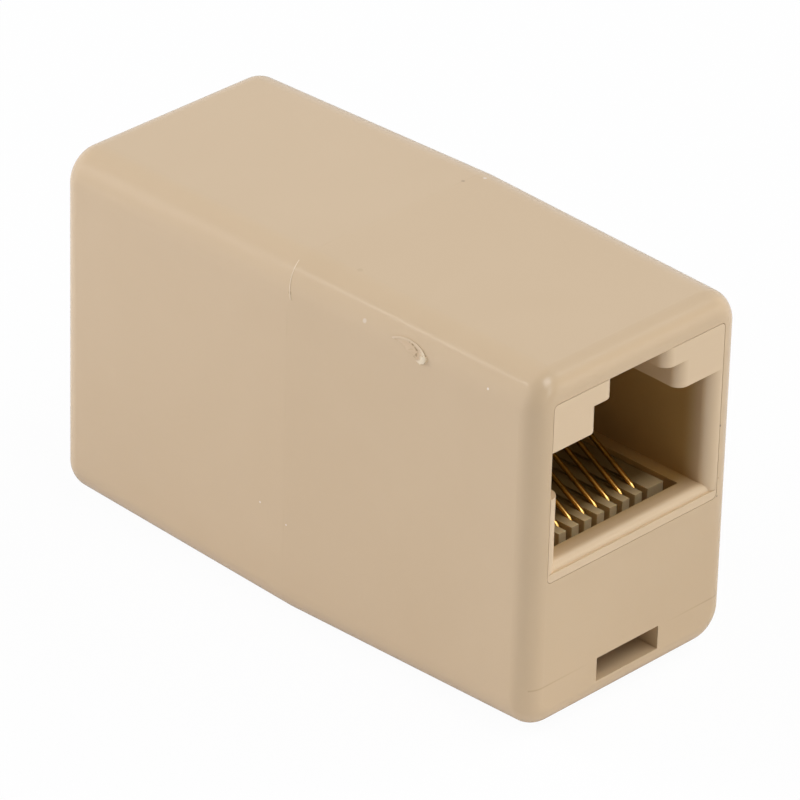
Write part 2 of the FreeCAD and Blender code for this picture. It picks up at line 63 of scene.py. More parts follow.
class End(Enum):
    """The two ends of the coupler; the value is the turn about Z that brings the front end there."""

    FRONT = 0.0
    REAR = math.pi

    @property
    def word(self) -> str:
        """The end's name as it stands in the node names."""
        return self.name.lower()


class Tone(Enum):
    """How a small mark differs from the plastic round it."""

    PALE = "e9dccb"
    DARK = "5a4a38"
    DULL = "b89c78"


# Small shared helpers


def linear(code: str) -> Rgba:
    """Turns an sRGB hex colour into the linear colour that shaders take.

    Args:
        code: Six hex digits, two each for red, green and blue.

    Returns:
        Linear red, green, blue and an alpha of 1.
    """
    channels = [int(code[i:i + 2], 16) / 255 for i in (0, 2, 4)]
    turned = [c / 12.92 if c <= 0.04045 else ((c + 0.055) / 1.055) ** 2.4 for c in channels]
    return (turned[0], turned[1], turned[2], 1.0)


def deselect() -> None:
    """Leaves object mode with nothing selected."""
    if bpy.context.object is not None and bpy.context.object.mode != "OBJECT":
        bpy.ops.object.mode_set(mode="OBJECT")
    bpy.ops.object.select_all(action="DESELECT")


def pick(piece: bpy.types.Object) -> None:
    """Makes one object the only selected and the active one.

    Args:
        piece: The object.
    """
    deselect()
    piece.select_set(True)
    bpy.context.view_layer.objects.active = piece


def select_faces(piece: bpy.types.Object, wanted: Callable[[Vector], bool]) -> None:
    """Selects faces in edit mode by their place.

    Args:
        piece: The object in edit mode.
        wanted: A test of a face's centre, in metres in the object's own frame.
    """
    mesh = bmesh.from_edit_mesh(piece.data)
    bpy.ops.mesh.select_mode(type="FACE")
    for face in mesh.faces:
        face.select_set(wanted(face.calc_center_median()))
    mesh.select_flush_mode()
    bmesh.update_edit_mesh(piece.data)


def select_points(piece: bpy.types.Object, wanted: Callable[[Vector], bool]) -> None:
    """Selects points in edit mode by their place.

    Args:
        piece: The object in edit mode.
        wanted: A test of a point's place, in metres in the object's own frame.
    """
    mesh = bmesh.from_edit_mesh(piece.data)
    bpy.ops.mesh.select_mode(type="VERT")
    for point in mesh.verts:
        point.select_set(wanted(point.co))
    mesh.select_flush_mode()
    bmesh.update_edit_mesh(piece.data)


def settle(piece: bpy.types.Object, name: str) -> None:
    """Names a piece and puts its place into its mesh, so that its object sits at the origin.

    Args:
        piece: The object to name.
        name: Its name.
    """
    pick(piece)
    piece.name = name
    piece.data.name = name
    bpy.ops.object.transform_apply(location=True, rotation=True, scale=True)


def copy_of(piece: bpy.types.Object, across: float, turn: float) -> bpy.types.Object:
    """Copies a piece with its own mesh, moves it across and turns it about the coupler's axis.

    Args:
        piece: The modelled piece.
        across: The way along X, in metres, before the turn.
        turn: The turn about Z through the origin, in radians.

    Returns:
        The copy, with its place still on the object.
    """
    pick(piece)
    bpy.ops.object.duplicate(linked=False)
    copied = bpy.context.object
    bpy.ops.transform.translate(value=(across, 0.0, 0.0))
    if turn:
        bpy.ops.transform.rotate(value=turn, orient_axis="Z", center_override=(0.0, 0.0, 0.0))
    return copied


def carry(piece: bpy.types.Object, material: bpy.types.Material) -> None:
    """Dresses a new piece and lets it ride on the coupler.

    Args:
        piece: The new piece.
        material: Its finish.
    """
    piece.data.materials.clear()
    piece.data.materials.append(material)
    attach(piece, ROOT)
    LOG.info("piece %s, %d faces", piece.name, len(piece.data.polygons))


# Materials


def add(tree: bpy.types.NodeTree, kind: str, settings: Mapping[str | int, object] | None = None,
        links: Mapping[str | int, bpy.types.NodeSocket] | None = None) -> bpy.types.Node:
    """Adds a node with its settings and links.

    Args:
        tree: The material's node tree.
        kind: The node's type without its ShaderNode prefix.
        settings: Values by input name or number, or by the node's own property.
        links: Output sockets by the input name or number that they feed.

    Returns:
        The new node.
    """
    node = tree.nodes.new(f"ShaderNode{kind}")
    later = {}
    for key, value in (settings or {}).items():
        if isinstance(key, str) and key not in node.inputs.keys():
            setattr(node, key, value)
        else:
            later[key] = value
    for key, value in later.items():
        node.inputs[key].default_value = value
    for key, socket in (links or {}).items():
        tree.links.new(socket, node.inputs[key])
    return node


def depth_from_middle(tree: bpy.types.NodeTree, place: bpy.types.NodeSocket) -> bpy.types.NodeSocket:
    """The distance from mid length, which is alike in both ends.

    Args:
        tree: The material's node tree.
        place: Object coordinates.

    Returns:
        The distance, in metres.
    """
    split = add(tree, "SeparateXYZ", links={"Vector": place})
    return add(tree, "Math", {"operation": "ABSOLUTE"}, {0: split.outputs["Y"]}).outputs[0]


def blank(name: str) -> tuple[bpy.types.Material, bpy.types.NodeTree, bpy.types.Node, bpy.types.NodeSocket]:
    """Makes an empty node material.

    Args:
        name: The material's name.

    Returns:
        The material, its tree, its shader and the Object coordinates.
    """
    material = bpy.data.materials.new(name)
    material.use_nodes = True
    tree = material.node_tree
    tree.nodes.clear()
    shader = add(tree, "BsdfPrincipled")
    add(tree, "OutputMaterial", links={"Surface": shader.outputs["BSDF"]})
    place = add(tree, "TexCoord").outputs["Object"]
    return material, tree, shader, place


@dataclass(frozen=True)
class Spot:
    """One small mark on a moulded face: its place and size in millimetres, and its tone."""

    place: Point
    radius: float
    tone: Tone
    strength: float = 1.0


@dataclass(frozen=True)
class MouldedAbs:
    """Injection-moulded ABS, beige: an even warm colour with a soft satin gloss.

    The polished steel mould leaves only a very fine grain, which softens the reflection of a lamp
    into a broad glow; the colour varies by a few percent where the melt flowed.
    """

    name: str = "moulded_beige_abs"
    colour: str = "d1b794"
    flow_colour: str = "cdb28e"
    # The flow marks are some 9 mm across; the grain is 0.12 mm, drawn three times its real size to show
    flow_mm: float = 9.0
    flow_swirl: float = 0.6
    grain_mm: float = 0.12
    grain_depth_mm: float = 0.0003
    roughness: float = 0.2
    roughness_spread: float = 0.03
    ior: float = 1.53

    def base(self, tree: bpy.types.NodeTree, place: bpy.types.NodeSocket) -> bpy.types.NodeSocket:
        """The plain colour of the plastic.

        Args:
            tree: The material's node tree.
            place: Object coordinates.

        Returns:
            The colour output.
        """
        flow = add(tree, "TexNoise", {"Scale": 1 / (self.flow_mm * MM), "Detail": 2.0,
                                      "Distortion": self.flow_swirl}, {"Vector": place})
        return add(tree, "Mix", {"data_type": "RGBA", MIX_FIRST: linear(self.colour),
                                 MIX_SECOND: linear(self.flow_colour)},
                   {0: flow.outputs["Fac"]}).outputs[MIX_RESULT]

    def marked(self, tree: bpy.types.NodeTree, place: bpy.types.NodeSocket,
               colour: bpy.types.NodeSocket) -> bpy.types.NodeSocket:
        """The colour with this moulding's own marks; the plain plastic has none."""
        return colour

    def material(self) -> bpy.types.Material:
        """Builds the material.

        Returns:
            The finished material.
        """
        made, tree, shader, place = blank(self.name)
        tree.links.new(self.marked(tree, place, self.base(tree, place)), shader.inputs["Base Color"])
        grain = add(tree, "TexNoise", {"Scale": 1 / (self.grain_mm * MM), "Detail": 3.0}, {"Vector": place})
        gloss = add(tree, "MapRange", {"To Min": self.roughness - self.roughness_spread,
                                       "To Max": self.roughness + self.roughness_spread},
                    {"Value": grain.outputs["Fac"]})
        tree.links.new(gloss.outputs["Result"], shader.inputs["Roughness"])
        bump = add(tree, "Bump", {"Strength": 1.0, "Distance": self.grain_depth_mm * MM},
                   {"Height": grain.outputs["Fac"]})
        tree.links.new(bump.outputs["Normal"], shader.inputs["Normal"])
        shader.inputs["IOR"].default_value = self.ior
        return made


@dataclass(frozen=True)
class CaseAbs(MouldedAbs):
    """The same ABS on the case, with its moulding lines and the few specks that handling left.

    A thin darker line runs round the seam at mid length, a fainter one crosses each end face below
    the socket, and small pale and dark specks sit where the real case has them.
    """

    name: str = "moulded_beige_abs_case"
    line_colour: str = "a88a66"
    # A line is full over the first share of its half width and gone at the second
    line_core: float = 0.4
    line_fringe: float = 1.4
    seam_half_mm: float = 0.03
    # The seam line comes and goes in patches of this size, where the pattern lies between the two values
    seam_patch_mm: float = 2.2
    seam_patch_from: float = 0.45
    seam_patch_to: float = 0.75
    seam_strength: float = 0.14
    # The end line's height, the distances from the middle between which it grows, and where the end starts
    end_line_mm: float = 3.17
    end_line_half_mm: float = 0.05
    end_line_from_mm: float = 3.0
    end_line_to_mm: float = 6.6
    end_line_strength: float = 0.35
    end_face_mm: float = 18.3
    spot_core: float = 0.5
    spots: tuple[Spot, ...] = (
        Spot((-8.24, -5.73, 21.43), 0.17, Tone.PALE, 0.45),
        Spot((-8.16, -14.97, 20.99), 0.09, Tone.PALE),
        Spot((-8.47, -0.18, 21.00), 0.14, Tone.DULL, 0.9),
        Spot((-8.44, 1.91, 6.75), 0.08, Tone.PALE),
        Spot((-8.47, -0.21, 6.19), 0.07, Tone.PALE),
        Spot((-8.40, -4.38, 1.59), 0.07, Tone.DARK, 0.7),
        Spot((-6.21, -3.31, 22.84), 0.22, Tone.DULL, 0.25),
        Spot((6.49, -0.56, 22.89), 0.14, Tone.PALE, 0.7),
        Spot((7.17, -0.68, 22.89), 0.12, Tone.PALE, 0.7),
        Spot((5.32, 0.02, 22.90), 0.14, Tone.DARK, 0.3),
        Spot((6.83, -18.60, 14.33), 0.09, Tone.DARK, 0.6),
        Spot((6.90, -18.60, 10.96), 0.08, Tone.DULL, 0.8),
        Spot((6.87, -18.60, 9.81), 0.08, Tone.DARK, 0.5),
    )

    def band(self, tree: bpy.types.NodeTree, value: bpy.types.NodeSocket, middle: float,
             half: float) -> bpy.types.NodeSocket:
        """A soft-edged line where a coordinate is near a value.

        Args:
            tree: The material's node tree.
            value: The coordinate, in metres.
            middle: The line's middle, in metres.
            half: Half of its width, in metres.

        Returns:
            1 on the line and 0 away from it.
        """
        away = add(tree, "Math", {"operation": "SUBTRACT", 1: middle}, {0: value})
        apart = add(tree, "Math", {"operation": "ABSOLUTE"}, {0: away.outputs[0]})
        fade = add(tree, "MapRange", {"From Min": half * self.line_core, "From Max": half * self.line_fringe,
                                      "To Min": 1.0, "To Max": 0.0}, {"Value": apart.outputs[0]})
        return fade.outputs["Result"]

    def marked(self, tree: bpy.types.NodeTree, place: bpy.types.NodeSocket,
               colour: bpy.types.NodeSocket) -> bpy.types.NodeSocket:
        """The colour with the seam line, the end-face lines and the specks.

        Args:
            tree: The material's node tree.
            place: Object coordinates.
            colour: The plain colour.

        Returns:
            The marked colour.
        """
        split = add(tree, "SeparateXYZ", links={"Vector": place})
        seam = self.band(tree, split.outputs["Y"], 0.0, self.seam_half_mm * MM)
        broken = add(tree, "TexNoise", {"Scale": 1 / (self.seam_patch_mm * MM), "Detail": 2.0}, {"Vector": place})
        patches = add(tree, "MapRange", {"From Min": self.seam_patch_from, "From Max": self.seam_patch_to,
                                         "To Min": 0.0, "To Max": self.seam_strength},
                      {"Value": broken.outputs["Fac"]})
        seam_line = add(tree, "Math", {"operation": "MULTIPLY"}, {0: seam, 1: patches.outputs["Result"]})

        level = self.band(tree, split.outputs["Z"], self.end_line_mm * MM, self.end_line_half_mm * MM)
        depth = add(tree, "Math", {"operation": "ABSOLUTE"}, {0: split.outputs["Y"]})
        on_end = add(tree, "Math", {"operation": "GREATER_THAN", 1: self.end_face_mm * MM}, {0: depth.outputs[0]})
        side = add(tree, "Math", {"operation": "ABSOLUTE"}, {0: split.outputs["X"]})
        outward = add(tree, "MapRange", {"From Min": self.end_line_from_mm * MM,
                                         "From Max": self.end_line_to_mm * MM,
                                         "To Min": 0.0, "To Max": self.end_line_strength},
                      {"Value": side.outputs[0]})
        on_level = add(tree, "Math", {"operation": "MULTIPLY"}, {0: level, 1: on_end.outputs[0]})
        end_line = add(tree, "Math", {"operation": "MULTIPLY"},
                       {0: on_level.outputs[0], 1: outward.outputs["Result"]})

        marks = [(seam_line.outputs[0], self.line_colour), (end_line.outputs[0], self.line_colour)]
        for spot in self.spots:
            centre = tuple(c * MM for c in spot.place)
            away = add(tree, "VectorMath", {"operation": "DISTANCE", 1: centre}, {0: place})
            fade = add(tree, "MapRange", {"From Min": spot.radius * MM * self.spot_core,
                                          "From Max": spot.radius * MM,
                                          "To Min": spot.strength, "To Max": 0.0},
                       {"Value": away.outputs["Value"]})
            marks.append((fade.outputs["Result"], spot.tone.value))
        for share, code in marks:
            colour = add(tree, "Mix", {"data_type": "RGBA", MIX_SECOND: linear(code)},
                         {0: share, MIX_FIRST: colour}).outputs[MIX_RESULT]
        return colour


@dataclass(frozen=True)
class InsertAbs(MouldedAbs):
    """The lighter ABS of the socket frames, darkened by painted shade inside the cavity.

    Over the first millimetres behind the face the colour slides to a deeper brown: painted shade that
    stands in for the shade deep in the cavity.
    """

    name: str = "moulded_beige_abs_insert"
    colour: str = "dcc29f"
    flow_colour: str = "d8be9a"
    roughness: float = 0.3
    # The colour of the painted shade inside the cavity
    painted_shade_colour: str = "b08b52"
    # The face's distance from mid length, and the depths behind it where the painted shade starts and is full
    face_mm: float = 18.6
    cavity_shade_from_mm: float = 0.2
    cavity_shade_full_mm: float = 2.1
    # The latch notch, above this height, takes only a share of the painted shade
    shoulder_mm: float = 17.98
    shoulder_fade_mm: float = 0.05
    notch_shade_share: float = 0.25

    def marked(self, tree: bpy.types.NodeTree, place: bpy.types.NodeSocket,
               colour: bpy.types.NodeSocket) -> bpy.types.NodeSocket:
        """The colour with the painted shade inside the cavity.

        Args:
            tree: The material's node tree.
            place: Object coordinates.
            colour: The plain colour.

        Returns:
            The colour with the painted shade.
        """
        # Painted shade: the colour darkens deeper in the cavity, and less in the latch notch
        inside = add(tree, "MapRange", {"interpolation_type": "SMOOTHSTEP",
                                        "From Min": (self.face_mm - self.cavity_shade_from_mm) * MM,
                                        "From Max": (self.face_mm - self.cavity_shade_full_mm) * MM},
                     {"Value": depth_from_middle(tree, place)})
        split = add(tree, "SeparateXYZ", links={"Vector": place})
        below = add(tree, "MapRange", {"From Min": (self.shoulder_mm + self.shoulder_fade_mm) * MM,
                                       "From Max": self.shoulder_mm * MM,
                                       "To Min": self.notch_shade_share, "To Max": 1.0},
                    {"Value": split.outputs["Z"]})
        share = add(tree, "Math", {"operation": "MULTIPLY"},
                    {0: inside.outputs["Result"], 1: below.outputs["Result"]})
        return add(tree, "Mix", {"data_type": "RGBA", MIX_SECOND: linear(self.painted_shade_colour)},
                   {0: share.outputs[0], MIX_FIRST: colour}).outputs[MIX_RESULT]


@dataclass(frozen=True)
class TornAbs:
    """The same ABS where a gate was torn off: rough, whitened by the strain, with painted shadow in its crease.

    The lip round the scar is pale, the floor has the colour of the wall with fine crumbs, and a
    broken line of painted shadow, as the lip would cast, runs where the lip meets the floor.
    """

    middle: Point
    across: float
    up: float
    name: str = "torn_beige_abs"
    colour: str = "e6d4b6"
    floor_colour: str = "cfb491"
    # The colour of the painted shadow in the crease
    crease_shadow_colour: str = "8e7048"
    # Torn crumbs are about 0.16 mm across
    crumb_mm: float = 0.16
    crumb_depth_mm: float = 0.012
    roughness: float = 0.5
    # Shares of the way from the scar's middle to its border
    lip_from: float = 0.68
    lip_to: float = 0.84
    crease_front: float = 0.5
    crease_top: float = 0.82
    crease_core: float = 0.03
    crease_fringe: float = 0.08
    # Angles round the scar, in radians, 0 to the front and a quarter turn up
    strained_turn: float = 0.2
    calm_turn: float = 0.9
    crease_end: float = 1.3
    crease_gone: float = 1.7
    calm_share: float = 0.3
    crease_shadow_strength: float = 0.9
    # The painted shadow of the crease starts to show where the crumbs' pattern is above the first value, and is
    # full at the second
    crumb_from: float = 0.42
    crumb_to: float = 0.55

    def material(self) -> bpy.types.Material:
        """Builds the material.

        Returns:
            The finished material.
        """
        made, tree, shader, place = blank(self.name)
        middle = tuple(c * MM for c in self.middle)
        to_border = (0.0, 1 / (self.across * MM), 1 / (self.up * MM))
        shifted = add(tree, "VectorMath", {"operation": "SUBTRACT", 1: middle}, {0: place})
        scaled = add(tree, "VectorMath", {"operation": "MULTIPLY", 1: to_border}, {0: shifted.outputs["Vector"]})
        reach = add(tree, "VectorMath", {"operation": "LENGTH"}, {0: scaled.outputs["Vector"]}).outputs["Value"]
        split = add(tree, "SeparateXYZ", links={"Vector": scaled.outputs["Vector"]})
        ahead = add(tree, "Math", {"operation": "MULTIPLY", 1: -1.0}, {0: split.outputs["Y"]})
        turn = add(tree, "Math", {"operation": "ARCTAN2"},
                   {0: split.outputs["Z"], 1: ahead.outputs[0]}).outputs[0]

        lip = add(tree, "MapRange", {"From Min": self.lip_from, "From Max": self.lip_to}, {"Value": reach})
        strain = add(tree, "MapRange", {"From Min": self.calm_turn, "From Max": self.strained_turn,
                                        "To Min": self.calm_share, "To Max": 1.0}, {"Value": turn})
        pale = add(tree, "Math", {"operation": "MULTIPLY"},
                   {0: lip.outputs["Result"], 1: strain.outputs["Result"]})
        whitened = add(tree, "Mix", {"data_type": "RGBA", MIX_FIRST: linear(self.floor_colour),
                                     MIX_SECOND: linear(self.colour)}, {0: pale.outputs[0]})

        crumbs = add(tree, "TexNoise", {"Scale": 1 / (self.crumb_mm * MM), "Detail": 4.0},
                     {"Vector": place}).outputs["Fac"]
        track = add(tree, "MapRange", {"From Min": 0.0, "From Max": math.pi / 2,
                                       "To Min": self.crease_front, "To Max": self.crease_top}, {"Value": turn})
        away = add(tree, "Math", {"operation": "SUBTRACT"}, {0: reach, 1: track.outputs["Result"]})
        apart = add(tree, "Math", {"operation": "ABSOLUTE"}, {0: away.outputs[0]})
        near = add(tree, "MapRange", {"From Min": self.crease_core, "From Max": self.crease_fringe,
                                      "To Min": self.crease_shadow_strength, "To Max": 0.0},
                   {"Value": apart.outputs[0]})
        along = add(tree, "MapRange", {"From Min": self.crease_gone, "From Max": self.crease_end},
                    {"Value": turn})
        broken = add(tree, "MapRange", {"From Min": self.crumb_from, "From Max": self.crumb_to},
                     {"Value": crumbs})
        # The crease line is painted shadow, darkening the floor where the lip meets it
        crease = near.outputs["Result"]
        for share in (along, broken):
            crease = add(tree, "Math", {"operation": "MULTIPLY"},
                         {0: crease, 1: share.outputs["Result"]}).outputs[0]
        crease_shadowed = add(tree, "Mix", {"data_type": "RGBA", MIX_SECOND: linear(self.crease_shadow_colour)},
                      {0: crease, MIX_FIRST: whitened.outputs[MIX_RESULT]})
        tree.links.new(crease_shadowed.outputs[MIX_RESULT], shader.inputs["Base Color"])
        bump = add(tree, "Bump", {"Strength": 1.0, "Distance": self.crumb_depth_mm * MM}, {"Height": crumbs})
        tree.links.new(bump.outputs["Normal"], shader.inputs["Normal"])
        shader.inputs["Roughness"].default_value = self.roughness
        return made


@dataclass(frozen=True)
class NaturalPbt:
    """Glass-filled PBT left in its natural ivory: slightly see-through at the edges, a little greyer.

    The eye gets a milky off-white with fine grey flecks of the glass fibre and a duller gloss than ABS.
    """

    name: str = "natural_ivory_pbt"
    colour: str = "e9d3a8"
    fleck_colour: str = "d8c194"
    # Towards mid length the block is darkened by painted shade, which stands in for the shade deep in the
    # socket: this starts at the first distance from mid length and is full at the second
    painted_shade_colour: str = "755e37"
    comb_shade_from_mm: float = 16.2
    comb_shade_full_mm: float = 14.7
    # Chopped fibres are 0.01 mm thick, drawn as 0.15 mm clouds because single ones would not show
    fleck_mm: float = 0.15
    fleck_contrast: float = 0.7
    fleck_depth_mm: float = 0.001
    roughness: float = 0.38
    ior: float = 1.55
    # Light goes in by up to 0.25 mm, red the deepest
    see_through: float = 0.35
    depth_mm: float = 0.25
    depth_shares: Point = (1.0, 0.75, 0.5)

    def material(self) -> bpy.types.Material:
        """Builds the material.

        Returns:
            The finished material.
        """
        made, tree, shader, place = blank(self.name)
        fleck = add(tree, "TexNoise", {"Scale": 1 / (self.fleck_mm * MM), "Detail": 4.0,
                                       "Roughness": self.fleck_contrast}, {"Vector": place}).outputs["Fac"]
        flecked = add(tree, "Mix", {"data_type": "RGBA", MIX_FIRST: linear(self.colour),
                                    MIX_SECOND: linear(self.fleck_colour)}, {0: fleck})
        # Painted shade: the colour darkens towards mid length
        inside = add(tree, "MapRange", {"From Min": self.comb_shade_from_mm * MM, "From Max": self.comb_shade_full_mm * MM},
                     {"Value": depth_from_middle(tree, place)})
        comb_shaded = add(tree, "Mix", {"data_type": "RGBA", MIX_SECOND: linear(self.painted_shade_colour)},
                     {0: inside.outputs["Result"], MIX_FIRST: flecked.outputs[MIX_RESULT]})
        tree.links.new(comb_shaded.outputs[MIX_RESULT], shader.inputs["Base Color"])
        bump = add(tree, "Bump", {"Strength": 1.0, "Distance": self.fleck_depth_mm * MM}, {"Height": fleck})
        tree.links.new(bump.outputs["Normal"], shader.inputs["Normal"])
        shader.inputs["Roughness"].default_value = self.roughness
        shader.inputs["IOR"].default_value = self.ior
        shader.inputs["Subsurface Weight"].default_value = self.see_through
        shader.inputs["Subsurface Radius"].default_value = self.depth_shares
        shader.inputs["Subsurface Scale"].default_value = self.depth_mm * MM
        return made


@dataclass(frozen=True)
class GoldPlate:
    """Hard gold over nickel on drawn phosphor-bronze wire: a deep yellow mirror with fine die lines.

    The die lines run along the wire, so a lamp is drawn out into a narrow bright streak. Behind the
    bend the gold is darkened by painted shade, which stands in for the shade deep in the cavity.
    """

    name: str = "gold_plated_bronze"
    colour: str = "f6d382"
    # Where the plating is thin, in patches of this size, the bronze shows through
    thin_colour: str = "e3ad55"
    thin_mm: float = 1.4
    # The painted shade starts at the first distance from mid length and is full at the second
    wire_shade_colour: str = "a58a48"
    wire_shade_from_mm: float = 14.6
    wire_shade_full_mm: float = 13.8
    # Die lines are 0.02 mm apart and stretched 20 times along the wire
    line_mm: float = 0.02
    line_stretch: float = 20.0
    roughness_least: float = 0.08
    roughness_most: float = 0.17

    def material(self) -> bpy.types.Material:
        """Builds the material.

        Returns:
            The finished material.
        """
        made, tree, shader, place = blank(self.name)
        drawn = add(tree, "Mapping", {"Scale": (1.0, 1 / self.line_stretch, 1 / self.line_stretch)},
                    {"Vector": place})
        lines = add(tree, "TexNoise", {"Scale": 1 / (self.line_mm * MM), "Detail": 2.0},
                    {"Vector": drawn.outputs["Vector"]})
        thin = add(tree, "TexNoise", {"Scale": 1 / (self.thin_mm * MM), "Detail": 2.0}, {"Vector": place})
        plated = add(tree, "Mix", {"data_type": "RGBA", MIX_FIRST: linear(self.colour),
                                   MIX_SECOND: linear(self.thin_colour)}, {0: thin.outputs["Fac"]})
        # Painted shade: the gold darkens deeper in the cavity
        wire_shade = add(tree, "MapRange", {"From Min": self.wire_shade_from_mm * MM, "From Max": self.wire_shade_full_mm * MM},
                   {"Value": depth_from_middle(tree, place)})
        wire_shaded = add(tree, "Mix", {"data_type": "RGBA", MIX_SECOND: linear(self.wire_shade_colour)},
                     {0: wire_shade.outputs["Result"], MIX_FIRST: plated.outputs[MIX_RESULT]})
        tree.links.new(wire_shaded.outputs[MIX_RESULT], shader.inputs["Base Color"])
        gloss = add(tree, "MapRange", {"To Min": self.roughness_least, "To Max": self.roughness_most},
                    {"Value": lines.outputs["Fac"]})
        tree.links.new(gloss.outputs["Result"], shader.inputs["Roughness"])
        shader.inputs["Metallic"].default_value = 1.0
        return made


@dataclass(frozen=True)
class TinSolder:
    """Tin solder that froze in air: dull silver with soft grey frosting."""

    name: str = "frosted_tin_solder"
    colour: str = "c9c8c4"
    frost_colour: str = "9d9c98"
    frost_mm: float = 0.2
    roughness_bright: float = 0.25
    roughness_frosted: float = 0.5

    def material(self) -> bpy.types.Material:
        """Builds the material.

        Returns:
            The finished material.
        """
        made, tree, shader, place = blank(self.name)
        cells = add(tree, "TexVoronoi", {"Scale": 1 / (self.frost_mm * MM)}, {"Vector": place})
        frosted = add(tree, "Mix", {"data_type": "RGBA", MIX_FIRST: linear(self.colour),
                                    MIX_SECOND: linear(self.frost_colour)}, {0: cells.outputs["Distance"]})
        tree.links.new(frosted.outputs[MIX_RESULT], shader.inputs["Base Color"])
        gloss = add(tree, "MapRange", {"To Min": self.roughness_bright, "To Max": self.roughness_frosted},
                    {"Value": cells.outputs["Distance"]})
        tree.links.new(gloss.outputs["Result"], shader.inputs["Roughness"])
        shader.inputs["Metallic"].default_value = 1.0
        return made


@dataclass(frozen=True)
class MaskedLaminate:
    """Glass-epoxy laminate under green solder mask: the weave shows as a faint square pattern."""

    name: str = "green_masked_laminate"
    colour: str = "2f6b3c"
    weave_colour: str = "3b7a48"
    # Strands of the glass cloth lie 0.5 mm apart and waver a little
    strand_mm: float = 0.5
    # How many waves the texture has in a metre at a scale of 1
    waves_in_metre: float = 20 / math.tau
    waver: float = 0.4
    weave_depth_mm: float = 0.004
    roughness: float = 0.3

    def material(self) -> bpy.types.Material:
        """Builds the material.

        Returns:
            The finished material.
        """
        made, tree, shader, place = blank(self.name)
        scale = 1 / (self.strand_mm * MM * self.waves_in_metre)
        warp, weft = (add(tree, "TexWave", {"wave_type": "BANDS", "bands_direction": way, "Scale": scale,
                                            "Distortion": self.waver}, {"Vector": place}).outputs["Fac"]
                      for way in ("X", "Z"))
        weave = add(tree, "Math", {"operation": "MULTIPLY"}, {0: warp, 1: weft}).outputs[0]
        woven = add(tree, "Mix", {"data_type": "RGBA", MIX_FIRST: linear(self.colour),
                                  MIX_SECOND: linear(self.weave_colour)}, {0: weave})
        tree.links.new(woven.outputs[MIX_RESULT], shader.inputs["Base Color"])
        bump = add(tree, "Bump", {"Strength": 1.0, "Distance": self.weave_depth_mm * MM}, {"Height": weave})
        tree.links.new(bump.outputs["Normal"], shader.inputs["Normal"])
        shader.inputs["Roughness"].default_value = self.roughness
        return made


# Sub-assemblies. Sizes are in millimetres in the frame of the CAD.


@dataclass
class Shells:
    """The case halves, socket frames, combs, board and solder, which keep their CAD shapes."""

    case: MouldedAbs = CaseAbs()
    insert: MouldedAbs = InsertAbs()
    comb: NaturalPbt = NaturalPbt()
    board: MaskedLaminate = MaskedLaminate()
    solder: TinSolder = TinSolder()

    def dress(self) -> None:
        """Gives each carried-over node its finish."""
        finishes = {"housing": self.case.material(), "socket": self.insert.material(),
                    "contact_block": self.comb.material(), "link_board": self.board.material(),
                    "solder": self.solder.material()}
        for name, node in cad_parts.items():
            for start, material in finishes.items():
                if name.startswith(start):
                    node.data.materials.clear()
                    node.data.materials.append(material)
                    LOG.info("node %s is %s", name, material.name)


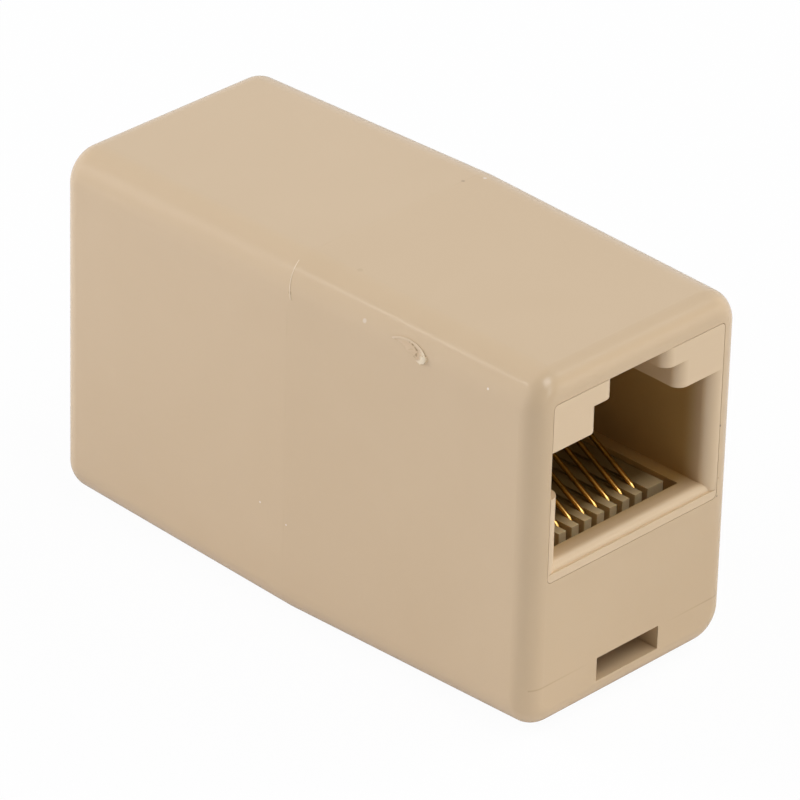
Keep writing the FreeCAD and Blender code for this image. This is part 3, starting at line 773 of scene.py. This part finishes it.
@dataclass
class SpringContacts:
    """The sixteen sprung wires: a tail, a run under the comb, a turn round its bar and a beam."""

    count: int = 8
    pitch: float = 1.02
    radius: float = 0.15
    sides: int = 20
    tail_y: float = 1.7
    run_z: float = 8.955
    low_z: float = 7.055
    bend_y: float = -14.65
    bend_z: float = 9.755
    bend_radius: float = 0.8
    bend_steps: int = 20
    jog_near_y: float = -4.608
    jog_far_y: float = -2.045
    jog_lean: float = math.pi / 4
    jog_steps: int = 5
    tip_y: float = -6.05
    tip_z: float = 15.675
    end_round: float = 0.07
    end_steps: int = 3
    # Points closer than this are one; a face this near to an end belongs to it
    weld: float = 0.001
    near_tail: float = 0.01
    near_tip: float = 0.02

    def rod(self, height: float) -> bpy.types.Object:
        """Starts a wire: its round end at the tail, facing along the coupler.

        Args:
            height: The tail's height.

        Returns:
            The object, in edit mode with the end face selected.
        """
        deselect()
        bpy.ops.mesh.primitive_circle_add(vertices=self.sides, radius=self.radius * MM, fill_type="NGON",
                                          location=(0.0, self.tail_y * MM, height * MM),
                                          rotation=(math.pi / 2, 0.0, 0.0))
        wire = bpy.context.object
        bpy.ops.object.transform_apply(location=True, rotation=True, scale=True)
        bpy.ops.object.mode_set(mode="EDIT")
        bpy.ops.mesh.select_all(action="SELECT")
        return wire

    def push(self, along: float, up: float) -> None:
        """Extrudes the end face by a way along Y and Z, in millimetres."""
        bpy.ops.mesh.extrude_region_move(TRANSFORM_OT_translate={"value": (0.0, along * MM, up * MM)})

    def turn(self, y: float, z: float, angle: float, steps: int) -> None:
        """Spins the end face about an axis along X.

        Args:
            y: The axis' place along the coupler.
            z: Its height.
            angle: The turn, in radians, positive from +Y towards +Z.
            steps: How many steps it has. The operator counts its angle the other way round.
        """
        bpy.ops.mesh.spin(steps=steps, angle=-angle, center=(0.0, y * MM, z * MM), axis=(1.0, 0.0, 0.0))

    def model(self, jogged: bool) -> bpy.types.Object:
        """Models one wire in the middle plane.

        Args:
            jogged: Whether its tail lies in the lower row.

        Returns:
            The wire.
        """
        wire = self.rod(self.low_z if jogged else self.run_z)
        if jogged:
            self.push(self.jog_far_y - self.tail_y, 0.0)
            self.turn(self.jog_far_y, self.low_z + self.bend_radius, -self.jog_lean, self.jog_steps)
            shift = self.bend_radius * math.sin(self.jog_lean)
            rise = self.run_z - self.low_z - 2 * (self.bend_radius - shift)
            self.push(-rise, rise)
            self.turn(self.jog_near_y, self.run_z - self.bend_radius, self.jog_lean, self.jog_steps)
            self.push(self.bend_y - self.jog_near_y, 0.0)
        else:
            self.push(self.bend_y - self.tail_y, 0.0)
        reach, climb = self.tip_y - self.bend_y, self.tip_z - self.bend_z
        slope = math.atan2(climb, reach) - math.asin(self.bend_radius / math.hypot(reach, climb))
        self.turn(self.bend_y, self.bend_z, slope - math.pi, self.bend_steps)
        beam = math.sqrt(reach ** 2 + climb ** 2 - self.bend_radius ** 2)
        self.push(beam * math.cos(slope), beam * math.sin(slope))
        bpy.ops.mesh.select_all(action="SELECT")
        bpy.ops.mesh.remove_doubles(threshold=self.weld * MM)
        bpy.ops.mesh.normals_make_consistent(inside=False)
        tip = Vector((0.0, self.tip_y * MM, self.tip_z * MM))
        select_faces(wire, lambda centre: centre.y > (self.tail_y - self.near_tail) * MM
                     or (centre - tip).length < self.near_tip * MM)
        bpy.ops.mesh.bevel(offset=self.end_round * MM, segments=self.end_steps, affect="EDGES")
        bpy.ops.object.mode_set(mode="OBJECT")
        bpy.ops.object.shade_smooth_by_angle(angle=SOFT_EDGE)
        return wire

    def build(self) -> None:
        """Models the two kinds of wire once, and copies each to its places in both ends."""
        gold = GoldPlate().material()
        kinds = {True: self.model(True), False: self.model(False)}
        for end in End:
            for number in range(1, self.count + 1):
                across = self.pitch * (number - (self.count + 1) / 2) * MM
                wire = copy_of(kinds[number % 2 == 0], across, end.value)
                settle(wire, f"spring_wire_{end.word}_{number}")
                carry(wire, gold)
                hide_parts(f"contact_{end.word}_{number}")
        for wire in kinds.values():
            bpy.data.objects.remove(wire)


@dataclass
class GateScar:
    """The torn stub of the moulding gate on the left side of the front half.

    A low rough floor lies on the wall; a lip stands along its top and front edges and ends in a
    torn, pale knob.
    """

    middle: Point = (-8.31, -9.0, 20.95)
    across: float = 1.4
    up: float = 0.62
    steps: int = 64
    # How far from the wall the flat form starts before it is thrown onto it
    start_out: float = 1.5
    # Each ring is this share of the last one
    rings: tuple[float, ...] = (0.93, 0.925, 0.92, 0.91, 0.88, 0.82, 0.7)
    floor_height: float = 0.006
    lip_height: float = 0.05
    knob_height: float = 0.09
    # Shares of the way to the border where the lip and the knob start
    lip_reach: float = 0.85
    knob_reach: float = 0.7
    # Angles round the scar, in degrees, 0 to the front and 90 up: beyond the two open ones nothing is
    # left of it, and both turn on with the reach
    open_top: float = 100.0
    open_top_lean: float = 50.0
    open_foot: float = -30.0
    open_foot_lean: float = -10.0
    lip_foot: float = -20.0
    knob_top: float = 14.0
    # The part of the floor that is crumbled, and how far points are pushed about there and on the knob
    crumbled_reach: tuple[float, float] = (0.4, 0.8)
    crumbled_turn: tuple[float, float] = (-25.0, 80.0)
    floor_crumble: float = 0.025
    knob_crumble: float = 0.04
    sharp_edge: float = math.radians(35)

    def turn_of(self, centre: Vector) -> float:
        """The angle of a face round the scar, in degrees, 0 to the front and 90 up."""
        return math.degrees(math.atan2((centre.z - self.middle[2] * MM) / self.up,
                                       -(centre.y - self.middle[1] * MM) / self.across))

    def reach_of(self, centre: Vector) -> float:
        """How far out a face lies: 1 is the scar's border."""
        return math.hypot((centre.z - self.middle[2] * MM) / (self.up * MM),
                          (centre.y - self.middle[1] * MM) / (self.across * MM))

    def is_open(self, centre: Vector) -> bool:
        """Whether a face lies behind the scar's torn end, where nothing is left of it."""
        turn, reach = self.turn_of(centre), self.reach_of(centre)
        return (turn > self.open_top + self.open_top_lean * reach
                or turn < self.open_foot + self.open_foot_lean * reach)

    def is_crumbled(self, centre: Vector) -> bool:
        """Whether a face lies in the crumbled part of the floor."""
        return (self.crumbled_reach[0] < self.reach_of(centre) < self.crumbled_reach[1]
                and self.crumbled_turn[0] < self.turn_of(centre) < self.crumbled_turn[1])

    def raise_selected(self, scar: bpy.types.Object, height: float) -> None:
        """Extrudes the selected faces away from the wall.

        Args:
            scar: The scar, in edit mode.
            height: How far they go, in millimetres.
        """
        mesh = bmesh.from_edit_mesh(scar.data)
        outward = 1.0 if sum(face.normal.x for face in mesh.faces) < 0.0 else -1.0
        bpy.ops.mesh.extrude_region_shrink_fatten(TRANSFORM_OT_shrink_fatten={"value": height * outward * MM})

    def build(self) -> None:
        """Models the scar on the wall of the front half."""
        deselect()
        start = ((self.middle[0] - self.start_out) * MM, self.middle[1] * MM, self.middle[2] * MM)
        bpy.ops.mesh.primitive_circle_add(vertices=self.steps, radius=1.0 * MM, fill_type="NGON",
                                          location=start, rotation=(0.0, -math.pi / 2, 0.0))
        scar = bpy.context.object
        bpy.ops.object.transform_apply(location=False, rotation=True, scale=True)
        bpy.ops.object.mode_set(mode="EDIT")
        bpy.ops.mesh.select_all(action="SELECT")
        bpy.ops.transform.resize(value=(1.0, self.across, self.up))
        for share in self.rings:
            bpy.ops.mesh.extrude_region_move(TRANSFORM_OT_translate={"value": (0.0, 0.0, 0.0)})
            bpy.ops.transform.resize(value=(1.0, share, share), center_override=start)
        bpy.ops.mesh.poke()
        bpy.ops.object.mode_set(mode="OBJECT")
        settle(scar, "gate_scar")
        wrap = scar.modifiers.new("onto_wall", "SHRINKWRAP")
        wrap.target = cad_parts["housing_front"]
        wrap.wrap_method = "PROJECT"
        wrap.use_project_x, wrap.use_project_y, wrap.use_project_z = True, False, False
        wrap.use_negative_direction, wrap.use_positive_direction = False, True
        wrap.offset = self.floor_height * MM
        bpy.ops.object.modifier_apply(modifier=wrap.name)

        bpy.ops.object.mode_set(mode="EDIT")
        select_faces(scar, self.is_open)
        bpy.ops.mesh.delete(type="FACE")
        select_faces(scar, lambda centre: self.reach_of(centre) > self.lip_reach
                     and self.turn_of(centre) > self.lip_foot)
        self.raise_selected(scar, self.lip_height)
        select_faces(scar, lambda centre: self.reach_of(centre) > self.knob_reach
                     and self.turn_of(centre) < self.knob_top)
        self.raise_selected(scar, self.knob_height)
        bpy.ops.transform.vertex_random(offset=self.knob_crumble * MM, seed=4)
        select_faces(scar, self.is_crumbled)
        bpy.ops.transform.vertex_random(offset=self.floor_crumble * MM, seed=9)
        bpy.ops.object.mode_set(mode="OBJECT")
        bpy.ops.object.shade_smooth_by_angle(angle=self.sharp_edge)
        carry(scar, TornAbs(self.middle, self.across, self.up).material())


@dataclass
class WallFoot:
    """The rounded foot that brings each cavity wall's edge down onto the sill's nose."""

    wall_x: float = 5.965
    round_radius: float = 0.75
    side_x: float = 6.72
    face_y: float = -18.59
    back_y: float = -17.7
    low_z: float = 10.3
    high_z: float = 10.79
    steps: int = 12
    # A point this near to the cavity and the face is the corner to be rounded
    near_corner: float = 0.1

    def model(self) -> bpy.types.Object:
        """Models the foot under the front right wall.

        Returns:
            The foot.
        """
        deselect()
        bpy.ops.mesh.primitive_plane_add(size=1.0 * MM, location=(0.0, 0.0, self.low_z * MM))
        foot = bpy.context.object
        bpy.ops.object.transform_apply(location=True, rotation=True, scale=True)
        bpy.ops.object.mode_set(mode="EDIT")
        bpy.ops.mesh.select_all(action="SELECT")
        width, depth = self.side_x - self.wall_x, self.back_y - self.face_y
        bpy.ops.transform.resize(value=(width, depth, 1.0), center_override=(0.0, 0.0, self.low_z * MM))
        middle = (self.wall_x + width / 2, self.face_y + depth / 2)
        bpy.ops.transform.translate(value=(middle[0] * MM, middle[1] * MM, 0.0))
        select_points(foot, lambda point: point.x < (self.wall_x + self.near_corner) * MM
                      and point.y < (self.face_y + self.near_corner) * MM)
        bpy.ops.mesh.bevel(offset=self.round_radius * MM, segments=self.steps, affect="VERTICES")
        bpy.ops.mesh.select_all(action="SELECT")
        bpy.ops.mesh.extrude_region_move(
            TRANSFORM_OT_translate={"value": (0.0, 0.0, (self.high_z - self.low_z) * MM)})
        bpy.ops.mesh.select_all(action="SELECT")
        bpy.ops.mesh.normals_make_consistent(inside=False)
        bpy.ops.object.mode_set(mode="OBJECT")
        bpy.ops.object.shade_smooth_by_angle(angle=SOFT_EDGE)
        return foot

    def build(self) -> None:
        """Models the foot once, mirrors it, and copies the pair to both ends."""
        plastic = InsertAbs(name="moulded_beige_abs_foot").material()
        right = self.model()
        left = copy_of(right, 0.0, 0.0)
        bpy.ops.transform.mirror(constraint_axis=(True, False, False), center_override=(0.0, 0.0, 0.0))
        bpy.ops.object.transform_apply(location=True, rotation=True, scale=True)
        bpy.ops.object.mode_set(mode="EDIT")
        bpy.ops.mesh.select_all(action="SELECT")
        bpy.ops.mesh.normals_make_consistent(inside=False)
        bpy.ops.object.mode_set(mode="OBJECT")
        for end in End:
            for side, kind in (("right", right), ("left", left)):
                foot = copy_of(kind, 0.0, end.value)
                settle(foot, f"wall_foot_{end.word}_{side}")
                carry(foot, plastic)
        for kind in (right, left):
            bpy.data.objects.remove(kind)


@dataclass
class SeamBurr:
    """The thin fin of plastic that the moulds left where the seam crosses the left rounding."""

    wall_x: float = -8.475
    centre_x: float = -6.375
    centre_z: float = 20.8
    low_z: float = 20.5
    radius: float = 2.1
    sweep: float = 62.0
    wall_steps: int = 4
    round_steps: int = 16
    thickness: float = 0.05
    height: float = 0.022
    root: float = 0.03
    # Points this near to an end are drawn in to these shares of their size
    near_end: float = 0.12
    end_shares: Point = (0.1, 0.2, 0.1)
    edge_round: float = 0.008
    # It lies beside the seam and leans by an angle in degrees about a point at this height
    aside: float = -0.18
    lean: float = 11.0
    lean_z: float = 21.0

    def build(self) -> None:
        """Models the fin: up the wall, round the rounding, thinned to nothing at both ends."""
        deselect()
        bpy.ops.mesh.primitive_plane_add(size=1.0 * MM, location=(self.wall_x * MM, 0.0, self.low_z * MM))
        fin = bpy.context.object
        bpy.ops.object.transform_apply(location=True, rotation=True, scale=True)
        bpy.ops.object.mode_set(mode="EDIT")
        bpy.ops.mesh.select_all(action="SELECT")
        bpy.ops.transform.resize(value=(self.height + self.root, self.thickness, 1.0),
                                 center_override=(self.wall_x * MM, 0.0, self.low_z * MM))
        bpy.ops.transform.translate(value=(-(self.height - self.root) / 2 * MM, 0.0, 0.0))
        climb = (0.0, 0.0, (self.centre_z - self.low_z) / self.wall_steps * MM)
        for _ in range(self.wall_steps):
            bpy.ops.mesh.extrude_region_move(TRANSFORM_OT_translate={"value": climb})
        bpy.ops.mesh.spin(steps=self.round_steps, angle=-math.radians(self.sweep), axis=(0.0, 1.0, 0.0),
                          center=(self.centre_x * MM, 0.0, self.centre_z * MM))
        turn = math.radians(180.0 - self.sweep)
        tip = Vector(((self.centre_x + self.radius * math.cos(turn)) * MM, 0.0,
                      (self.centre_z + self.radius * math.sin(turn)) * MM))
        foot = Vector((self.wall_x * MM, 0.0, self.low_z * MM))
        into_tip = Vector((-math.cos(turn) * self.root * MM, 0.0, -math.sin(turn) * self.root * MM))
        into_foot = Vector((self.root * MM, 0.0, 0.0))
        for end, inward in ((tip, into_tip), (foot, into_foot)):
            select_points(fin, lambda point: (point - end).length < self.near_end * MM)
            bpy.ops.transform.resize(value=self.end_shares, center_override=tuple(end + inward))
        bpy.ops.mesh.select_all(action="SELECT")
        bpy.ops.mesh.normals_make_consistent(inside=False)
        bpy.ops.mesh.bevel(offset=self.edge_round * MM, segments=2, affect="EDGES", clamp_overlap=True)
        bpy.ops.object.mode_set(mode="OBJECT")
        bpy.ops.object.shade_smooth_by_angle(angle=SOFT_EDGE)
        bpy.ops.transform.translate(value=(0.0, self.aside * MM, 0.0))
        bpy.ops.transform.rotate(value=math.radians(self.lean), orient_axis="X",
                                 center_override=(0.0, self.aside * MM, self.lean_z * MM))
        settle(fin, "seam_burr")
        # The fin's paler colour is painted light: it stands in for the light falling on its top
        pale_painted_flash = MouldedAbs(name="flash_beige_abs", colour="ead7ba", flow_colour="e6d2b4")
        carry(fin, pale_painted_flash.material())


# Studio


@dataclass
class Lamp:
    """A soft rectangular lamp: its place, what it faces, its sides in metres, its power and tint.

    A lamp that isn't mirrored stands behind a diffuser and leaves no glint on glossy faces.
    """

    name: str
    place: Point
    target: Point
    width: float
    height: float
    watts: float
    tint: Point = (1.0, 1.0, 1.0)
    mirrored: bool = True

    def light(self) -> None:
        """Adds the lamp to the scene."""
        data = bpy.data.lights.new(self.name, "AREA")
        data.shape = "RECTANGLE"
        data.size, data.size_y = self.width, self.height
        data.energy = self.watts
        data.color = self.tint
        lamp = bpy.data.objects.new(self.name, data)
        bpy.context.scene.collection.objects.link(lamp)
        lamp.location = self.place
        lamp.rotation_mode = "QUATERNION"
        lamp.rotation_quaternion = (Vector(self.target) - Vector(self.place)).to_track_quat("-Z", "Y")
        lamp.visible_glossy = self.mirrored


@dataclass
class Studio:
    """A pale floor in a white room with nine lamps, and the camera of the photograph."""

    # The camera: angles in degrees, place, lens and sensor in millimetres, clipping in metres
    azimuth: float = -46.2187
    elevation: float = 29.7629
    roll: float = 1.58641
    place: Point = (-231.83926, -222.83552, 194.74813)
    lens: float = 295.4208
    sensor: float = 36.0
    clip: tuple[float, float] = (0.01, 10.0)
    room_tint: Rgba = (1.0, 0.985, 0.96, 1.0)
    room_strength: float = 0.05
    # The floor: side and drop below the part in metres, its grey, and how white the camera sees it
    floor_side: float = 1.6
    floor_drop: float = 0.00005
    floor_cuts: int = 6
    floor_grey: Rgba = (0.86, 0.86, 0.86, 1.0)
    floor_white: float = 0.96
    # All lamps face the middle of the part; daylight is a little cool and the low lamp a little warm
    aim: Point = (0.0, 0.0, 0.0115)
    cool: Point = (0.97, 1.0, 1.10)
    warm: Point = (1.04, 1.0, 0.92)

    def camera(self) -> None:
        """Places the camera where the photograph was taken from."""
        data = bpy.data.cameras.new("camera")
        data.lens, data.sensor_width = self.lens, self.sensor
        data.clip_start, data.clip_end = self.clip
        camera = bpy.data.objects.new("camera", data)
        bpy.context.scene.collection.objects.link(camera)
        turn, rise, tilt = (math.radians(a) for a in (self.azimuth, self.elevation, self.roll))
        right = Vector((math.cos(turn), math.sin(turn), 0.0))
        back = Vector((math.sin(turn) * math.cos(rise), -math.cos(turn) * math.cos(rise), math.sin(rise)))
        up = back.cross(right)
        across = right * math.cos(tilt) + up * math.sin(tilt)
        over = up * math.cos(tilt) - right * math.sin(tilt)
        axes = Matrix((across, over, back)).transposed()
        camera.matrix_world = Matrix.Translation(Vector(self.place) * MM) @ axes.to_4x4()
        bpy.context.scene.camera = camera

    def room(self) -> None:
        """Lights the room evenly and shows it white to the camera and in reflections."""
        world = bpy.data.worlds.new("white_room")
        world.use_nodes = True
        bpy.context.scene.world = world
        tree = world.node_tree
        tree.nodes.clear()
        path = add(tree, "LightPath")
        direct = add(tree, "Math", {"operation": "MAXIMUM"},
                     {0: path.outputs["Is Camera Ray"], 1: path.outputs["Is Transmission Ray"]})
        seen = add(tree, "Math", {"operation": "MAXIMUM"},
                   {0: direct.outputs[0], 1: path.outputs["Is Glossy Ray"]})
        dim = add(tree, "Background", {"Color": self.room_tint, "Strength": self.room_strength})
        white = add(tree, "Background", {"Color": (1.0, 1.0, 1.0, 1.0), "Strength": 1.0})
        mixed = add(tree, "MixShader", links={0: seen.outputs[0], 1: dim.outputs[0], 2: white.outputs[0]})
        add(tree, "OutputWorld", links={"Surface": mixed.outputs[0]})

    def floor(self) -> None:
        """Lays a pale floor that fades to white for the camera and keeps a faint shadow."""
        deselect()
        bpy.ops.mesh.primitive_plane_add(size=self.floor_side, location=(0.0, 0.0, -self.floor_drop))
        floor = bpy.context.object
        floor.name = "floor"
        bpy.ops.object.mode_set(mode="EDIT")
        bpy.ops.mesh.subdivide(number_cuts=self.floor_cuts)
        bpy.ops.object.mode_set(mode="OBJECT")
        material = bpy.data.materials.new("white_paper_sweep")
        material.use_nodes = True
        tree = material.node_tree
        tree.nodes.clear()
        path = add(tree, "LightPath")
        seen = add(tree, "Math", {"operation": "MULTIPLY", 1: self.floor_white},
                   {0: path.outputs["Is Camera Ray"]})
        paper = add(tree, "BsdfDiffuse", {"Color": self.floor_grey})
        white = add(tree, "Emission", {"Color": (1.0, 1.0, 1.0, 1.0), "Strength": 1.0})
        mixed = add(tree, "MixShader", links={0: seen.outputs[0], 1: paper.outputs[0], 2: white.outputs[0]})
        add(tree, "OutputMaterial", links={"Surface": mixed.outputs[0]})
        floor.data.materials.append(material)

    def build(self) -> None:
        """Sets up the camera, the room, the floor and the lamps."""
        bpy.context.scene.view_settings.view_transform = "Standard"
        self.camera()
        self.room()
        self.floor()
        aim, cool, warm = self.aim, self.cool, self.warm
        for lamp in (
            Lamp("front_overhead", (0.00, -0.29, 0.545), aim, 0.26, 0.34, 0.96),
            Lamp("front_strip", (0.00, -0.52, 0.27), aim, 0.10, 0.30, 0.23),
            Lamp("left_softbox", (-0.40, 0.10, 0.17), aim, 0.34, 0.34, 0.60, cool, mirrored=False),
            Lamp("rear_left", (-0.22, 0.45, 0.22), aim, 0.30, 0.24, 1.95, cool, mirrored=False),
            Lamp("right_overhead", (0.36, -0.12, 0.45), aim, 0.40, 0.40, 1.52, mirrored=False),
            Lamp("right_low", (0.40, -0.45, 0.08), aim, 0.30, 0.20, 0.98, cool, mirrored=False),
            Lamp("front_low", (-0.15, -0.60, 0.03), aim, 0.40, 0.20, 0.50, warm, mirrored=False),
            Lamp("rear_glint", (-0.313, 0.322, 0.403), aim, 0.05, 0.05, 0.034),
            Lamp("right_glint", (0.37, -0.20, 0.42), aim, 0.05, 0.05, 0.018),
        ):
            lamp.light()


def main() -> None:
    """Builds the looks in order."""
    logging.basicConfig(level=logging.INFO, format="%(name)s: %(message)s")
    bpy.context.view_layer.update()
    Studio().build()
    Shells().dress()
    SpringContacts().build()
    WallFoot().build()
    GateScar().build()
    SeamBurr().build()
    LOG.info("done")


if __name__ == "__main__":
    main()
